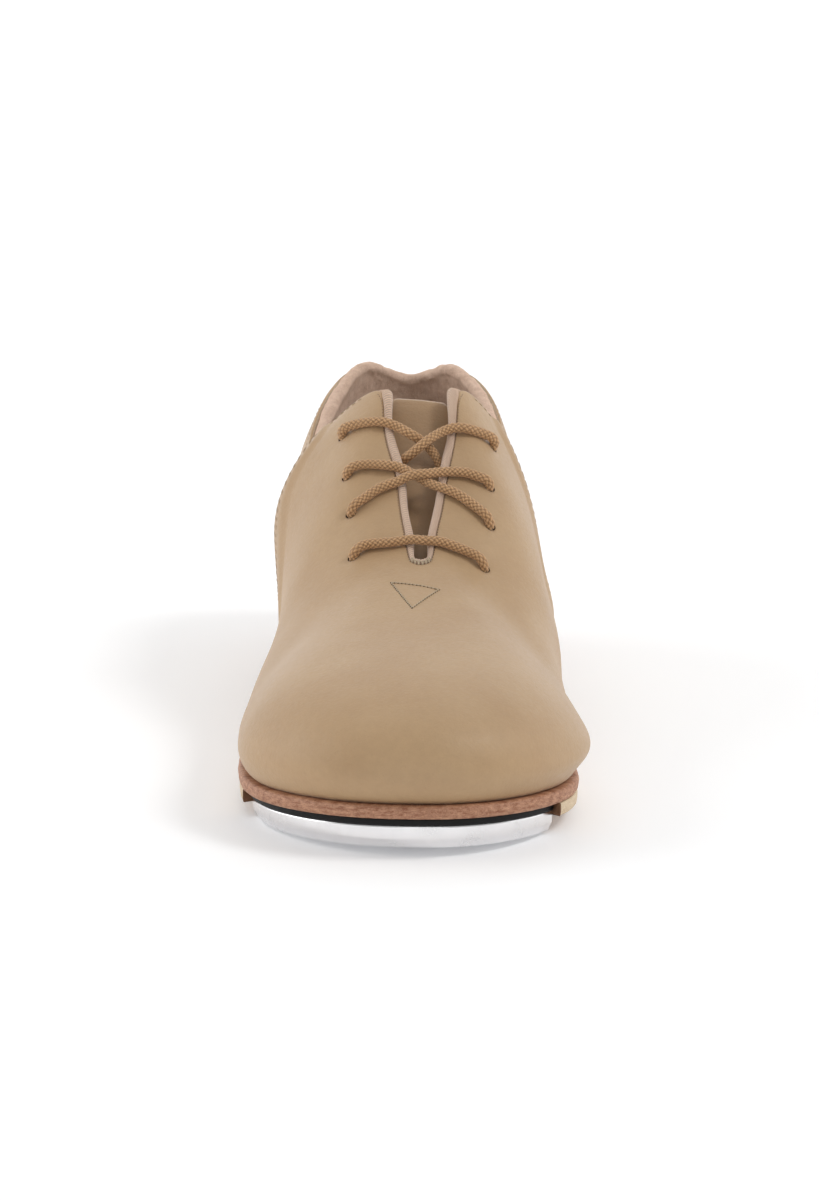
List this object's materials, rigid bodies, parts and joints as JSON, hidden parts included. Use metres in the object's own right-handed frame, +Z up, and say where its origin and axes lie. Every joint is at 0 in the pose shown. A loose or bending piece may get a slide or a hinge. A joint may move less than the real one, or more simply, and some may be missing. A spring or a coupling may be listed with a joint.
{
  "type": "tap shoe",
  "caption": "Low lace-up right-foot tap shoe in tan leather with a pile-lined collar, braided lace, flexing sole and screwed-on metal toe and heel taps.",
  "frame": {"origin": "centre of the heel tap's bottom face, on the floor", "axes": "+Z up, toe points along -Y, the inner (big toe) side is +X"},
  "size_m": [0.0925, 0.2554, 0.088],
  "materials": {
    "upper_leather": "smooth grain leather, satin",
    "lining_cloth": "plain woven cotton",
    "stiffener_board": "pressed fibre board",
    "foam": "soft closed-cell foam and cork",
    "pile_lining": "brushed pile",
    "knit_binding": "soft knitted binding",
    "lace_braid": "round braided cotton cord",
    "lace_tip": "satin",
    "thread": "twisted sewing thread",
    "midsole_edge": "burnished edge",
    "sock_leather": "smooth lining leather",
    "shank_steel": "plain steel strip",
    "outsole_leather": "hard sole leather, satin",
    "black_board": "matte fibre board",
    "tap_metal": "satin cast",
    "screw_steel": "plated",
    "heel_leather": "stacked leather, burnished",
    "lift_rubber": "matte"
  },
  "bodies": {
    "rear": {"vamp_crease": "upper_leather", "vamp_instep": "upper_leather", "lateral_quarter": "upper_leather", "medial_quarter": "upper_leather", "back_stay": "upper_leather", "lining_crease": "lining_cloth", "lining_instep": "lining_cloth", "quarter_lining": "lining_cloth", "heel_counter": "stiffener_board", "facing_stays": "stiffener_board", "collar_foam": "foam", "collar_lining": "pile_lining", "slit_binding": "knit_binding", "lace": "lace_braid", "lace_tips": "lace_tip", "tack_stitch": "thread", "midsole_rear": "midsole_edge", "filler_rear": "foam", "insole_board_rear": "stiffener_board", "sock_liner_rear": "sock_leather", "shank": "shank_steel", "outsole_rear": "outsole_leather", "heel_stack": "heel_leather", "heel_top_lift": "lift_rubber", "heel_tap": "tap_metal", "heel_tap_screws": "screw_steel", "heel_nails": "screw_steel"},
    "forefoot": {"vamp_toe": "upper_leather", "lining_toe": "lining_cloth", "toe_puff": "stiffener_board", "midsole_front": "midsole_edge", "filler_front": "foam", "insole_board_front": "stiffener_board", "sock_liner_front": "sock_leather", "outsole_front": "outsole_leather", "toe_resonator": "black_board", "toe_tap": "tap_metal", "toe_tap_screws": "screw_steel"},
    "tongue": {"tongue": "upper_leather", "tongue_lining": "lining_cloth"}
  },
  "joints": [
    {"name": "ball_flex", "type": "hinge", "parent": "rear", "child": "forefoot", "pos_m": [0, -0.142, 0.0158], "axis": [-0.9798, 0.2, 0], "range_deg": [0, 35], "stiffness_Nm_per_rad": 3, "deforming": ["vamp_crease", "lining_crease", "tack_stitch"]},
    {"name": "tongue_lift", "type": "hinge", "parent": "rear", "child": "tongue", "pos_m": [0.003, -0.112, 0.0455], "axis": [-1, 0, 0], "range_deg": [0, 20], "stiffness_Nm_per_rad": 0.2}
  ]
}
